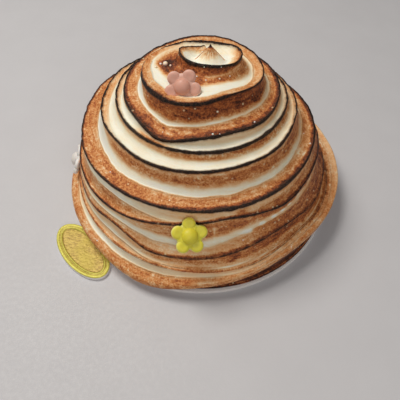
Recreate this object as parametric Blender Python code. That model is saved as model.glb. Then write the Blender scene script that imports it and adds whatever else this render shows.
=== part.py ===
"""A small dome cake under a coat of toasted meringue, on its gold card.

The meringue is one solid. Its crest starts as a lip beside the crater at the
top, winds outward and down as a spiral of sharp lips with a concave groove
under each, and ends as the rounded roll that overhangs the card.
Lengths below are in millimetres; metres are used in the scene.
Left, front, right and back are -X, -Y, +X and +Y.
"""
import math

import bmesh
import bpy
import numpy as np
from mathutils import Matrix, Vector

MM = 0.001

# ---- card -----------------------------------------------------------------
CARD_RADIUS = 40.0
CARD_THICK = 1.2
TAB_CENTRE_R = 43.5          # centre of the oval finger tab from the axis
TAB_AZIMUTH = 217.6          # degrees, front left
TAB_TURN = 3.7               # the oval's long axis against the rim's tangent
TAB_HALF_LONG = 11.3
TAB_HALF_SHORT = 5.7
TAB_FIELD_LONG = 8.8         # pressed field inside the tab's raised rim
TAB_FIELD_SHORT = 3.8
TAB_FIELD_DEPTH = 0.25
CARD_SIDES = 96
TAB_SIDES = 44

# ---- meringue -------------------------------------------------------------
GAP = 0.3                    # left between touching pieces
BASE_Z = CARD_THICK + GAP
FOOT_RADIUS = 39.8           # edge of the flat underside
CRATER_X, CRATER_Y = 2.3, 1.6  # the peak in the crater, where the spiral starts
CRATER_FLOOR = 46.0
PEAK_TOP = 50.3
PEAK_RADIUS = 4.2
PEAK_LEAN = 1.1              # how far back of its base the peak stands
SHELF_END = (0.78, 1.0)      # turns over which the level top shelf runs out
SHELF_DROP = 2.6
FIRST_KNOT = 0.5             # turns at the first entry of TURNS
LIP_START = (0.28, 0.37)     # turns over which the lip leaves the peak

# Crest line of each turn: radius and height at left, front, right, back.
TURNS = (
    # rad left  front right back    z left  front  right  back
    ((7.6, 6.9, 7.9, 5.9), (49.0, 48.8, 47.7, 47.6)),        # crater rim
    ((14.9, 15.3, 15.9, 15.9), (44.9, 44.4, 43.8, 43.7)),
    ((19.7, 20.5, 20.5, 21.2), (40.0, 39.4, 39.2, 38.3)),
    ((22.2, 22.6, 22.8, 24.3), (37.7, 37.3, 37.1, 35.0)),
    ((26.6, 26.2, 25.7, 28.4), (34.1, 34.4, 34.8, 30.6)),
    ((32.7, 32.2, 31.8, 33.2), (28.1, 27.1, 27.4, 23.5)),
    ((35.4, 33.5, 33.8, 35.2), (19.6, 23.9, 22.8, 19.0)),
    ((36.0, 36.9, 37.8, 37.4), (15.8, 12.4, 12.4, 14.2)),
    ((37.1, 38.6, 38.9, 39.6), (11.6, 9.1, 9.6, 9.8)),
    ((40.6, 40.9, 42.4, 42.0), (6.3, 5.7, 8.8, 6.6)),        # bottom roll
    ((38.6, 38.9, FOOT_RADIUS), (2.4, 1.8, BASE_Z)),         # tucks under
)
# Local sags and swells of the crest: turn count, half width in turns,
# radial and vertical change.
SWELLS = (
    (0.410, 0.065, 0.0, -1.0),
    (1.170, 0.090, -0.25, -0.3),
    (1.700, 0.050, 0.9, 0.7),
    (1.845, 0.085, -1.6, 1.2),
    (2.675, 0.042, 1.0, -1.4),
    (2.805, 0.050, -0.6, 0.5),
    (4.08, 0.05, -0.7, -0.2),
    (4.41, 0.05, 0.6, 0.4),
    (4.605, 0.045, -0.5, 0.5),
    (4.875, 0.045, 0.4, -0.3),
    (5.06, 0.05, -0.7, -0.3),
    (5.42, 0.05, 0.8, 0.5),
    (5.555, 0.05, 0.3, -0.8),
    (6.56, 0.06, 0.0, -1.0),
    (6.66, 0.06, 0.6, -1.0),
    (6.78, 0.025, -0.2, 0.7),
    (6.855, 0.03, 0.3, -0.4),
    (6.87, 0.04, 0.2, -0.9),
    (7.64, 0.035, -0.5, 2.6),
    (7.69, 0.02, 0.0, -0.7),
    (7.815, 0.055, -0.6, 2.3),
    (7.87, 0.05, -1.2, 2.9),
    (7.95, 0.04, -0.6, 1.2),
    (8.87, 0.05, -1.1, 2.0),
    (9.69, 0.05, 1.0, -2.2),
    (9.86, 0.07, -1.5, 1.2),
    (11.60, 0.13, -1.1, 0.0),
)
# Places where the groove outside a crest is filled: turn count, half width
# in turns, share filled.
FILLS = (
    (5.80, 0.022, 0.75),
    (7.705, 0.03, 0.55),
    (7.79, 0.035, 0.65),
    (8.30, 0.10, 0.40),
    (7.20, 0.12, 0.30),
)
# Groove under each turn's crest: how far out its corner lies (share of the
# way to the next crest) and its height over the next crest.
GROOVES = (
    (0.14, -1.5),
    (0.05, 0.1),
    (0.12, -0.5),
    (0.14, -0.2),
    (0.12, 0.3),
    (0.18, 0.3),
    (-0.10, 2.4),
    (0.10, 0.3),
    (-0.10, 0.2),
    (1.60, 1.2),
    (1.20, 0.6),
)
LAST_TURN = 10
ROWS = 48                    # around
STEPS = (0.0, 0.10, 0.27, 0.48, 0.70, 0.88)   # across one turn of the spiral

# ---- sugar flowers --------------------------------------------------------
PETALS = 5
PETAL_RING = 3.0
PETAL_HALF = (1.75, 1.75, 0.95)
FLOWER_WEB = (3.4, 3.4, 0.88)  # thin disc that joins the petals
FLOWER_HEART = (2.1, 2.1, 1.55)
HEART_UP = 0.6               # the heart's middle in front of the petals'
FLOWERS = (
    # name, centre, outward direction, spin, scale, colour
    ("flower_pink", (-4.3, -10.8, 46.7), (-0.10, -0.75, 0.65), 280.0, 0.93, (0.62, 0.33, 0.29)),
    ("flower_yellow", (-2.78, -35.26, 21.34), (0.16, -0.63, 0.76), 81.0, 0.98, (0.62, 0.56, 0.05)),
    ("flower_white", (-37.1, -2.2, 13.9), (-0.93, -0.06, 0.36), 20.0, 1.0, (0.66, 0.62, 0.58)),
)


def ramp(a, b, x):
    t = np.clip((x - a) / (b - a), 0.0, 1.0)
    return t * t * (3.0 - 2.0 * t)


def along(values, n):
    """Catmull-Rom reading of one value a quarter turn from FIRST_KNOT."""
    v = np.array([values[0], *values, values[-1]])
    x = np.clip((n - FIRST_KNOT) * 4.0, 0.0, len(values) - 1.000001)
    i = x.astype(int)
    t = x - i
    p0, p1, p2, p3 = v[i], v[i + 1], v[i + 2], v[np.minimum(i + 3, len(v) - 1)]
    return 0.5 * (2 * p1 + (p2 - p0) * t + (2 * p0 - 5 * p1 + 4 * p2 - p3) * t ** 2
                  + (3 * p1 - p0 - 3 * p2 + p3) * t ** 3)


RADII = [v for turn in TURNS for v in turn[0]]
HEIGHTS = [v for turn in TURNS for v in turn[1]]


def crest(n):
    """Points of the crest line at turn counts n (azimuth 360 n)."""
    radius, height = along(RADII, n), along(HEIGHTS, n)
    for at, half, out, lift in SWELLS:
        bell = np.exp(-((n - at) / half) ** 2)
        radius = radius + out * bell
        height = height + lift * bell
    inner = RADII[0] * (np.maximum(n, 0.0) / FIRST_KNOT) ** 3.4
    radius = np.where(n < FIRST_KNOT, inner, radius)
    height = CRATER_FLOOR + (height - CRATER_FLOOR) * ramp(*LIP_START, n)
    off = 1.0 - ramp(1.0, 1.7, n)
    a = 2.0 * np.pi * n
    return np.stack([CRATER_X * off + radius * np.cos(a),
                     CRATER_Y * off + radius * np.sin(a), height], -1)


def across(n, t):
    """Points a share t of the way from the crest at n to the one at n + 1."""
    a, b = crest(n), crest(n + 1.0)
    x = np.clip(n - FIRST_KNOT, 0.0, len(GROOVES) - 1.0001)
    i = x.astype(int)
    f = ramp(0.0, 1.0, x - i)[..., None]
    g = np.array(GROOVES)
    out, lift = np.moveaxis(g[i] * (1 - f) + g[i + 1] * f, -1, 0)
    lip = ramp(*LIP_START, n)
    out = out + 0.35 * (1.0 - lip)
    low = np.where(n > LIP_START[0], np.minimum(b[..., 2] + lift, a[..., 2]), CRATER_FLOOR - 0.3)
    flat = b - a
    c1 = a + flat * out[..., None]
    c1[..., 2] = a[..., 2] + (low - a[..., 2]) * 0.92
    c2 = a + flat * (out + 0.34)[..., None]
    c2[..., 2] = low
    roll = (ramp(8.3, 8.6, n) * (1.0 - ramp(9.3, 9.6, n)))[..., None]
    over = b + flat * 0.10
    over[..., 2] = b[..., 2] + 3.8
    c2 = c2 + (over - c2) * roll
    fill = np.zeros_like(n)
    for at, half, share in FILLS:
        fill = np.maximum(fill, share * np.exp(-((n - at) / half) ** 2))
    fill = fill[..., None]
    c1 = c1 + (a + flat / 3.0 - c1) * fill
    c2 = c2 + (a + flat / 1.5 - c2) * fill
    t = t[..., None]
    s = 1.0 - t
    return a * s ** 3 + c1 * 3 * s * s * t + c2 * 3 * s * t * t + b * t ** 3


def peak(p, n):
    """Raises the crater floor into the leaning, pointed peak. The level shelf
    that carries on from the floor runs out over the end of the first turn."""
    x, y = p[..., 0] - CRATER_X, p[..., 1] - CRATER_Y
    d = np.hypot(x, y)
    reach = PEAK_RADIUS - PEAK_LEAN * y / np.maximum(d, 1e-6)
    share = np.maximum(1.0 - d / reach, 0.0) ** 1.15
    level = CRATER_FLOOR - SHELF_DROP * ramp(*SHELF_END, n)
    p[..., 2] = np.maximum(p[..., 2], level + (PEAK_TOP - CRATER_FLOOR) * share)
    return p


def polar_grid(rows, steps):
    """Points, turn count and share across for every row and column. steps
    are the shares across one turn. Where the spiral has moved out by one
    column, every column moves with it, so each crest keeps to the grid."""
    m = len(steps)
    columns = (LAST_TURN + 1) * m
    turn = (np.arange(rows) / rows)[:, None] + np.zeros((1, columns))
    shift = np.round(m * turn).astype(int)
    i = np.arange(1, columns + 1)[None, :] + np.zeros((rows, 1), int)
    c = i - shift
    k = np.clip(c // m, 0, LAST_TURN - 1)
    n = turn + k
    t = np.array(steps)[np.clip(c - k * m, 0, m - 1)]
    p = across(n, t)
    # the crater floor, from the peak to the first crest
    share = i / np.maximum(shift, 1)
    floor = across(turn - 1.0, np.clip(share, 0.0, 1.0))
    first = crest(turn)
    for axis, middle in ((0, CRATER_X), (1, CRATER_Y)):
        floor[..., axis] = middle + (first[..., axis] - middle) * share
    inside = c < 0
    p[inside] = floor[inside]
    p = np.where((c < m)[..., None], peak(p.copy(), np.where(c < 0, 0.0, n)), p)
    # from the last crest in under the roll to the edge of the underside
    left = np.maximum(m - shift, 1)
    share = np.clip((c - LAST_TURN * m) / left, 0.0, 1.0)
    under = across(turn + LAST_TURN, share)
    outside = c >= LAST_TURN * m
    p[outside] = under[outside]
    n = np.where(inside, turn - 1.0, np.where(outside, turn + LAST_TURN, n))
    t = np.where(inside, np.clip(i / np.maximum(shift, 1), 0, 1), np.where(outside, share, t))
    return p, n, t, shift[:, 0]


def grid_faces(rows, columns, shift):
    """Faces of the grid; vertex 0 is the peak's tip, the last vertex the
    middle of the underside."""
    faces = []
    end = 1 + rows * columns
    for j in range(rows):
        j1 = (j + 1) % rows
        a0, b0 = 1 + j * columns, 1 + j1 * columns
        step = j1 > 0 and shift[j1] > shift[j]
        faces.append((0, a0, b0))
        for i in range(columns - 1):
            if step:
                faces.append((a0 + i, a0 + i + 1, b0 + i + 1))
                faces.append((a0 + i, b0 + i + 1, b0 + i))
            else:
                faces.append((a0 + i, a0 + i + 1, b0 + i + 1, b0 + i))
        faces.append((a0 + columns - 1, end, b0 + columns - 1))
    return faces


def meringue_mesh():
    """A polar grid whose columns step over by one where the spiral has moved
    out by one, so every crest runs along edges of the grid."""
    p, _, _, shift = polar_grid(ROWS, STEPS)
    rows, columns = p.shape[:2]
    points = np.vstack([[(CRATER_X, CRATER_Y, PEAK_TOP)], p.reshape(-1, 3), [(0.0, 0.0, BASE_Z)]])
    bm = bmesh.new()
    verts = [bm.verts.new([float(v) * MM for v in q]) for q in points]
    for f in grid_faces(rows, columns, shift):
        bm.faces.new([verts[k] for k in f])
    bmesh.ops.recalc_face_normals(bm, faces=bm.faces)
    mesh = bpy.data.meshes.new("meringue")
    bm.to_mesh(mesh)
    bm.free()
    return mesh


def material(name, colour, rough, metallic=0.0):
    m = bpy.data.materials.new(name)
    m.use_nodes = True
    p = m.node_tree.nodes["Principled BSDF"]
    p.inputs["Base Color"].default_value = (*colour, 1.0)
    p.inputs["Roughness"].default_value = rough
    p.inputs["Metallic"].default_value = metallic
    m.diffuse_color = (*colour, 1.0)
    return m


def collection(name):
    c = bpy.data.collections.new(name)
    bpy.context.scene.collection.children.link(c)
    return c


def add(obj, where):
    for c in list(obj.users_collection):
        c.objects.unlink(obj)
    where.objects.link(obj)
    return obj


def as_cutter(obj):
    obj.hide_render = True
    obj.display_type = "WIRE"
    return add(obj, CUTTERS)


def boolean(obj, cutter, operation):
    m = obj.modifiers.new(cutter.name, "BOOLEAN")
    m.object = cutter
    m.operation = operation
    m.solver = "EXACT"


def evaluated(obj, name):
    graph = bpy.context.evaluated_depsgraph_get()
    mesh = bpy.data.meshes.new_from_object(obj.evaluated_get(graph))
    mesh.name = name
    return mesh


def shade(obj, angle):
    obj.data.shade_smooth()
    obj.data.set_sharp_from_angle(angle=math.radians(angle))


def ellipsoid(name, half, where, segments, rings):
    bpy.ops.mesh.primitive_uv_sphere_add(segments=segments, ring_count=rings, radius=1.0)
    obj = bpy.context.object
    obj.name = name
    obj.data.transform(Matrix.Translation(Vector(where) * MM)
                       @ Matrix.Diagonal((half[0] * MM, half[1] * MM, half[2] * MM, 1.0)))
    return obj


def flower_mesh():
    """Five round petals around a domed heart, joined to one solid; the
    flower lies in XY and looks along +Z."""
    heart = as_cutter(ellipsoid("flower_heart", FLOWER_HEART, (0, 0, HEART_UP), 11, 6))
    boolean(heart, as_cutter(ellipsoid("flower_web", FLOWER_WEB, (0, 0, -0.05), 15, 4)), "UNION")
    for k in range(PETALS):
        petal = ellipsoid("petal_%d" % k, PETAL_HALF, (PETAL_RING, 0, 0), 10, 6)
        petal.data.transform(Matrix.Rotation(2 * math.pi * k / PETALS + 0.013, 4, "Z"))
        boolean(heart, as_cutter(petal), "UNION")
    return evaluated(heart, "flower")


def facing(direction, spin, scale, centre):
    """Places a flower: its face along direction, its own Y as near up as that
    allows, then spun in its plane."""
    z = Vector(direction).normalized()
    y = (Vector((0.0, 0.0, 1.0)) - z * z.z).normalized()
    turn = Matrix((y.cross(z), y, z)).transposed().to_4x4()
    return (Matrix.Translation(Vector(centre) * MM) @ turn
            @ Matrix.Rotation(math.radians(spin), 4, "Z") @ Matrix.Scale(scale, 4))


def tab_matrix(height):
    a = math.radians(TAB_AZIMUTH)
    return (Matrix.Translation(Vector((TAB_CENTRE_R * math.cos(a), TAB_CENTRE_R * math.sin(a), height)) * MM)
            @ Matrix.Rotation(a + math.radians(90.0 + TAB_TURN), 4, "Z"))


def card_outline():
    """The card's edge: the disc and, where it reaches out, the oval tab."""
    a0 = math.radians(TAB_AZIMUTH)
    axis = a0 + math.radians(90.0 + TAB_TURN)
    cx, cy = TAB_CENTRE_R * math.cos(a0), TAB_CENTRE_R * math.sin(a0)
    points = []
    for k in range(CARD_SIDES):
        a = 2 * math.pi * k / CARD_SIDES
        x, y = CARD_RADIUS * math.cos(a), CARD_RADIUS * math.sin(a)
        u = (x - cx) * math.cos(axis) + (y - cy) * math.sin(axis)
        v = -(x - cx) * math.sin(axis) + (y - cy) * math.cos(axis)
        if (u / TAB_HALF_LONG) ** 2 + (v / TAB_HALF_SHORT) ** 2 > 1.0:
            points.append((x, y))
    for k in range(TAB_SIDES):
        b = 2 * math.pi * k / TAB_SIDES
        u, v = TAB_HALF_LONG * math.cos(b), TAB_HALF_SHORT * math.sin(b)
        x = cx + u * math.cos(axis) - v * math.sin(axis)
        y = cy + u * math.sin(axis) + v * math.cos(axis)
        if math.hypot(x, y) > CARD_RADIUS:
            points.append((x, y))
    # in order round a point that both the disc and the oval hold
    mx, my = 39.0 * math.cos(a0), 39.0 * math.sin(a0)
    points.sort(key=lambda p: math.atan2(p[1] - my, p[0] - mx))
    return [(x * MM, y * MM) for x, y in points]


def card_object():
    curve = bpy.data.curves.new("card_outline", "CURVE")
    curve.dimensions = "2D"
    curve.fill_mode = "BOTH"
    curve.extrude = CARD_THICK * MM / 2
    pts = card_outline()
    line = curve.splines.new("POLY")
    line.points.add(len(pts) - 1)
    for p, (x, y) in zip(line.points, pts):
        p.co = (x, y, 0.0, 1.0)
    line.use_cyclic_u = True
    flat = bpy.data.objects.new("card_outline", curve)
    bpy.context.scene.collection.objects.link(flat)
    mesh = evaluated(flat, "cake_card")
    bpy.data.objects.remove(flat)
    bm = bmesh.new()
    bm.from_mesh(mesh)
    bmesh.ops.remove_doubles(bm, verts=bm.verts, dist=1e-6)
    bmesh.ops.translate(bm, verts=bm.verts, vec=(0, 0, CARD_THICK * MM / 2))
    bmesh.ops.recalc_face_normals(bm, faces=bm.faces)
    bm.to_mesh(mesh)
    bm.free()
    return bpy.data.objects.new("cake_card", mesh)


for old in list(bpy.data.objects):
    bpy.data.objects.remove(old)
PARTS = collection("dome_cake")
CUTTERS = collection("cutters")

meringue = bpy.data.objects.new("meringue", meringue_mesh())
PARTS.objects.link(meringue)
meringue.data.materials.append(material("toasted_meringue", (0.50, 0.27, 0.12), 0.75))

petals = flower_mesh()
for name, centre, direction, spin, scale, colour in FLOWERS:
    data = petals.copy()
    data.name = name
    data.transform(facing(direction, spin, scale, centre))
    flower = bpy.data.objects.new(name, data)
    PARTS.objects.link(flower)
    flower.data.materials.append(material("sugar_" + name.split("_")[1], colour, 0.6))
    shade(flower, 45)
    # the pocket the petals sit in and the way out of it for the heart
    petal_reach = (PETAL_RING + PETAL_HALF[0]) * scale + GAP
    petal_deep = PETAL_HALF[2] * scale + GAP
    heart_reach = FLOWER_HEART[0] * scale + GAP
    for part, radius, low, high in (("petals", petal_reach, -petal_deep, petal_deep),
                                    ("heart", heart_reach, 0.0, 9.0)):
        bpy.ops.mesh.primitive_cylinder_add(vertices=28, radius=1.0, depth=1.0)
        seat = bpy.context.object
        seat.name = "seat_%s_%s" % (name, part)
        seat.data.transform(Matrix.Diagonal((radius * MM, radius * MM, (high - low) * MM, 1.0)))
        seat.data.transform(Matrix.Translation((0, 0, (high + low) / 2 * MM)))
        seat.data.transform(facing(direction, 0.0, 1.0, centre))
        boolean(meringue, as_cutter(seat), "DIFFERENCE")
shade(meringue, 40)

card = card_object()
PARTS.objects.link(card)
card.data.materials.append(material("gold_card", (0.62, 0.50, 0.06), 0.35, 0.8))
bpy.ops.mesh.primitive_cylinder_add(vertices=36, radius=1.0, depth=2.0)
field = bpy.context.object
field.name = "tab_field"
field.data.transform(Matrix.Diagonal((TAB_FIELD_LONG * MM, TAB_FIELD_SHORT * MM, 1.0 * MM, 1.0)))
field.data.transform(tab_matrix(CARD_THICK - TAB_FIELD_DEPTH + 1.0))
boolean(card, as_cutter(field), "DIFFERENCE")
shade(card, 40)
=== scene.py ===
import math

import bmesh
import bpy
import numpy as np
from mathutils import Matrix, Vector


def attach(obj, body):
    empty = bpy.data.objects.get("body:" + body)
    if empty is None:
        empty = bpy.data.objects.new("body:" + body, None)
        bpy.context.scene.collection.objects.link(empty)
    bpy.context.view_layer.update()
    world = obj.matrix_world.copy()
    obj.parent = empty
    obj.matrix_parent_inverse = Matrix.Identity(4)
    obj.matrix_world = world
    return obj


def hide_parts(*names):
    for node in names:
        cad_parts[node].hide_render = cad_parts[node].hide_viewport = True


# A small dome cake under a coat of toasted meringue on its gold card. The
# meringue is one mesh whose crest runs from the crater at the top outward and
# down as a spiral. Lengths are in millimetres, metres in the scene.
# Left, front, right and back are -X, -Y, +X and +Y.
MM = 0.001

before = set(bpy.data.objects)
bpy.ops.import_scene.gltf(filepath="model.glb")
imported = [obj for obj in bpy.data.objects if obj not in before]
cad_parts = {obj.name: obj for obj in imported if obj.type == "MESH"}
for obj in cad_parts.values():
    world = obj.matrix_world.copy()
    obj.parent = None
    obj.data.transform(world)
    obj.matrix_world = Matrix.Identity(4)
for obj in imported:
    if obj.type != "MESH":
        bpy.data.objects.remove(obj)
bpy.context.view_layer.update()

# ---- card -----------------------------------------------------------------
CARD_RADIUS = 40.0
CARD_THICK = 1.2
TAB_CENTRE_R = 43.5          # centre of the oval finger tab from the axis
TAB_AZIMUTH = 217.6          # degrees, front left
TAB_TURN = 3.7               # the oval's long axis against the rim's tangent
TAB_HALF_LONG = 11.3
TAB_HALF_SHORT = 5.7
TAB_FIELD_LONG = 8.8         # pressed field inside the tab's raised rim
TAB_FIELD_SHORT = 3.8
TAB_FIELD_DEPTH = 0.25
CARD_SIDES = 96

# ---- meringue -------------------------------------------------------------
GAP = 0.3                    # left between touching pieces
BASE_Z = CARD_THICK + GAP
FOOT_RADIUS = 39.5           # edge of the flat underside
CRATER_X, CRATER_Y = 2.3, 1.6  # the peak in the crater, where the spiral starts
CRATER_FLOOR = 46.0
PEAK_TOP = 50.3
PEAK_RADIUS = 4.2
PEAK_LEAN = 1.1              # how far back of its base the peak stands
SHELF_END = (0.78, 1.0)      # turns over which the level top shelf runs out
SHELF_DROP = 2.6
FIRST_KNOT = 0.5             # turns at the first entry of TURNS
LIP_START = (0.28, 0.37)     # turns over which the lip leaves the peak

# Crest line of each turn: radius and height at left, front, right, back.
TURNS = (
    # rad left  front right back    z left  front  right  back
    ((7.6, 6.9, 7.9, 5.9), (49.0, 48.8, 47.7, 47.6)),        # crater rim
    ((14.9, 15.3, 15.9, 15.9), (44.9, 44.4, 43.8, 43.7)),
    ((19.7, 20.5, 20.5, 21.2), (40.0, 39.4, 39.2, 38.3)),
    ((22.2, 22.6, 22.8, 24.3), (37.7, 37.3, 37.1, 35.0)),
    ((26.6, 26.2, 25.7, 28.4), (34.1, 34.4, 34.8, 30.6)),
    ((32.7, 32.2, 31.8, 33.2), (28.1, 27.1, 27.4, 23.5)),
    ((35.4, 33.5, 33.8, 35.2), (19.6, 23.9, 22.8, 19.0)),
    ((36.0, 36.9, 37.8, 37.4), (15.8, 12.4, 12.4, 14.2)),
    ((37.1, 38.6, 38.9, 39.6), (11.6, 9.1, 9.6, 9.8)),
    ((40.6, 40.9, 42.4, 42.0), (6.3, 5.7, 8.8, 6.6)),        # bottom roll
    ((38.6, 38.9, FOOT_RADIUS), (2.4, 1.8, BASE_Z)),         # tucks under
)
# Local sags and swells of the crest: turn count, half width in turns,
# radial and vertical change.
SWELLS = (
    (0.410, 0.065, 0.0, -1.0),
    (1.170, 0.090, -0.25, -0.3),
    (1.700, 0.050, 0.9, 0.7),
    (1.845, 0.085, -1.6, 1.2),
    (2.675, 0.042, 1.0, -1.4),
    (2.805, 0.050, -0.6, 0.5),
    (4.08, 0.05, -0.7, -0.2),
    (4.41, 0.05, 0.6, 0.4),
    (4.605, 0.045, -0.5, 0.5),
    (4.875, 0.045, 0.4, -0.3),
    (5.06, 0.05, -0.7, -0.3),
    (5.42, 0.05, 0.8, 0.5),
    (5.555, 0.05, 0.3, -0.8),
    (6.56, 0.06, 0.0, -1.0),
    (6.66, 0.06, 0.6, -1.0),
    (6.78, 0.025, -0.2, 0.7),
    (6.855, 0.03, 0.3, -0.4),
    (6.87, 0.04, 0.2, -0.9),
    (7.64, 0.035, -0.5, 2.6),
    (7.69, 0.02, 0.0, -0.7),
    (7.815, 0.055, -0.6, 2.3),
    (7.87, 0.05, -1.2, 2.9),
    (7.95, 0.04, -0.6, 1.2),
    (8.87, 0.05, -1.1, 2.0),
    (9.69, 0.05, 1.0, -2.2),
    (9.86, 0.07, -1.5, 1.2),
    (11.60, 0.13, -1.1, 0.0),
)
# Places where the groove outside a crest is filled: turn count, half width
# in turns, share filled.
FILLS = (
    (5.80, 0.022, 0.75),
    (7.705, 0.03, 0.55),
    (7.79, 0.035, 0.65),
    (8.30, 0.10, 0.40),
    (7.20, 0.12, 0.30),
)
# Groove under each turn's crest: how far out its corner lies (share of the
# way to the next crest) and its height over the next crest.
GROOVES = (
    (0.14, -1.5),
    (0.05, 0.1),
    (0.12, -0.5),
    (0.14, -0.2),
    (0.12, 0.3),
    (0.18, 0.3),
    (-0.10, 2.4),
    (0.10, 0.3),
    (-0.10, 0.2),
    (1.60, 1.2),
    (1.20, 0.6),
)
LAST_TURN = 10

# ---- sugar flowers --------------------------------------------------------
PETALS = 5
PETAL_RING = 3.0
PETAL_HALF = (1.75, 1.75, 0.95)
FLOWER_WEB = (3.4, 3.4, 0.88)  # thin disc that joins the petals
FLOWER_HEART = (2.1, 2.1, 1.55)
HEART_UP = 0.6               # the heart's middle in front of the petals'
FLOWERS = (
    # name, centre, outward direction, spin, scale
    ("flower_pink", (-4.3, -10.8, 46.7), (-0.10, -0.75, 0.65), 280.0, 0.93),
    ("flower_yellow", (-2.78, -35.26, 21.34), (0.16, -0.63, 0.76), 81.0, 0.98),
    ("flower_white", (-37.1, -2.2, 13.9), (-0.93, -0.06, 0.36), 20.0, 1.0),
)


def ramp(a, b, x):
    t = np.clip((x - a) / (b - a), 0.0, 1.0)
    return t * t * (3.0 - 2.0 * t)


def along(values, n):
    """Catmull-Rom reading of one value a quarter turn from FIRST_KNOT."""
    v = np.array([values[0], *values, values[-1]])
    x = np.clip((n - FIRST_KNOT) * 4.0, 0.0, len(values) - 1.000001)
    i = x.astype(int)
    t = x - i
    p0, p1, p2, p3 = v[i], v[i + 1], v[i + 2], v[np.minimum(i + 3, len(v) - 1)]
    return 0.5 * (2 * p1 + (p2 - p0) * t + (2 * p0 - 5 * p1 + 4 * p2 - p3) * t ** 2
                  + (3 * p1 - p0 - 3 * p2 + p3) * t ** 3)


RADII = [v for turn in TURNS for v in turn[0]]
HEIGHTS = [v for turn in TURNS for v in turn[1]]


def crest(n):
    """Points of the crest line at turn counts n (azimuth 360 n)."""
    radius, height = along(RADII, n), along(HEIGHTS, n)
    for at, half, out, lift in SWELLS:
        bell = np.exp(-((n - at) / half) ** 2)
        radius = radius + out * bell
        height = height + lift * bell
    inner = RADII[0] * (np.maximum(n, 0.0) / FIRST_KNOT) ** 3.4
    radius = np.where(n < FIRST_KNOT, inner, radius)
    height = CRATER_FLOOR + (height - CRATER_FLOOR) * ramp(*LIP_START, n)
    off = 1.0 - ramp(1.0, 1.7, n)
    a = 2.0 * np.pi * n
    return np.stack([CRATER_X * off + radius * np.cos(a),
                     CRATER_Y * off + radius * np.sin(a), height], -1)


def across(n, t):
    """Points a share t of the way from the crest at n to the one at n + 1."""
    a, b = crest(n), crest(n + 1.0)
    x = np.clip(n - FIRST_KNOT, 0.0, len(GROOVES) - 1.0001)
    i = x.astype(int)
    f = ramp(0.0, 1.0, x - i)[..., None]
    g = np.array(GROOVES)
    out, lift = np.moveaxis(g[i] * (1 - f) + g[i + 1] * f, -1, 0)
    lip = ramp(*LIP_START, n)
    out = out + 0.35 * (1.0 - lip)
    low = np.where(n > LIP_START[0], np.minimum(b[..., 2] + lift, a[..., 2]), CRATER_FLOOR - 0.3)
    flat = b - a
    c1 = a + flat * out[..., None]
    c1[..., 2] = a[..., 2] + (low - a[..., 2]) * 0.92
    c2 = a + flat * (out + 0.34)[..., None]
    c2[..., 2] = low
    roll = (ramp(8.3, 8.6, n) * (1.0 - ramp(9.3, 9.6, n)))[..., None]
    over = b + flat * 0.10
    over[..., 2] = b[..., 2] + 3.8
    c2 = c2 + (over - c2) * roll
    fill = np.zeros_like(n)
    for at, half, share in FILLS:
        fill = np.maximum(fill, share * np.exp(-((n - at) / half) ** 2))
    fill = fill[..., None]
    c1 = c1 + (a + flat / 3.0 - c1) * fill
    c2 = c2 + (a + flat / 1.5 - c2) * fill
    t = t[..., None]
    s = 1.0 - t
    return a * s ** 3 + c1 * 3 * s * s * t + c2 * 3 * s * t * t + b * t ** 3


def peak(p, n):
    """Raises the crater floor into the leaning, pointed peak. The level shelf
    that carries on from the floor runs out over the end of the first turn."""
    x, y = p[..., 0] - CRATER_X, p[..., 1] - CRATER_Y
    d = np.hypot(x, y)
    reach = PEAK_RADIUS - PEAK_LEAN * y / np.maximum(d, 1e-6)
    share = np.maximum(1.0 - d / reach, 0.0) ** 1.15
    level = CRATER_FLOOR - SHELF_DROP * ramp(*SHELF_END, n)
    p[..., 2] = np.maximum(p[..., 2], level + (PEAK_TOP - CRATER_FLOOR) * share)
    return p


def grid_faces(rows, columns, shift):
    """Faces of the grid; vertex 0 is the peak's tip, the last vertex the
    middle of the underside."""
    faces = []
    end = 1 + rows * columns
    for j in range(rows):
        j1 = (j + 1) % rows
        a0, b0 = 1 + j * columns, 1 + j1 * columns
        step = j1 > 0 and shift[j1] > shift[j]
        faces.append((0, a0, b0))
        for i in range(columns - 1):
            if step:
                faces.append((a0 + i, a0 + i + 1, b0 + i + 1))
                faces.append((a0 + i, b0 + i + 1, b0 + i))
            else:
                faces.append((a0 + i, a0 + i + 1, b0 + i + 1, b0 + i))
        faces.append((a0 + columns - 1, end, b0 + columns - 1))
    return faces




# ---- small noises ---------------------------------------------------------
def grain(p, seed=0):
    """Smooth noise between -1 and 1 at points p, one cell a unit."""
    base = np.floor(p).astype(np.int64)
    f = p - base
    f = f * f * (3.0 - 2.0 * f)
    total = np.zeros(p.shape[:-1])
    for dx in (0, 1):
        for dy in (0, 1):
            for dz in (0, 1):
                v = ((base[..., 0] + dx) * 73856093) ^ ((base[..., 1] + dy) * 19349663)
                v = v ^ ((base[..., 2] + dz) * 83492791) ^ (seed * 2654435761)
                v = v & 0xFFFFFFFF
                v = ((v ^ (v >> 15)) * 739982445) & 0xFFFFFFFF
                v = ((v ^ (v >> 12)) * 695872825) & 0xFFFFFFFF
                v = (v ^ (v >> 15)) & 0xFFFFFF
                w = (f[..., 0] if dx else 1 - f[..., 0]) * (f[..., 1] if dy else 1 - f[..., 1])
                w = w * (f[..., 2] if dz else 1 - f[..., 2])
                total += w * (v / float(0xFFFFFF) * 2.0 - 1.0)
    return total


def layered(p, seed, octaves=3):
    total, size = 0.0, 1.0
    for k in range(octaves):
        total = total + grain(p / size, seed + k) * size
        size *= 0.5
    return total / 1.6


def bell(x, half):
    return np.exp(-(x / half) ** 2)


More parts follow.
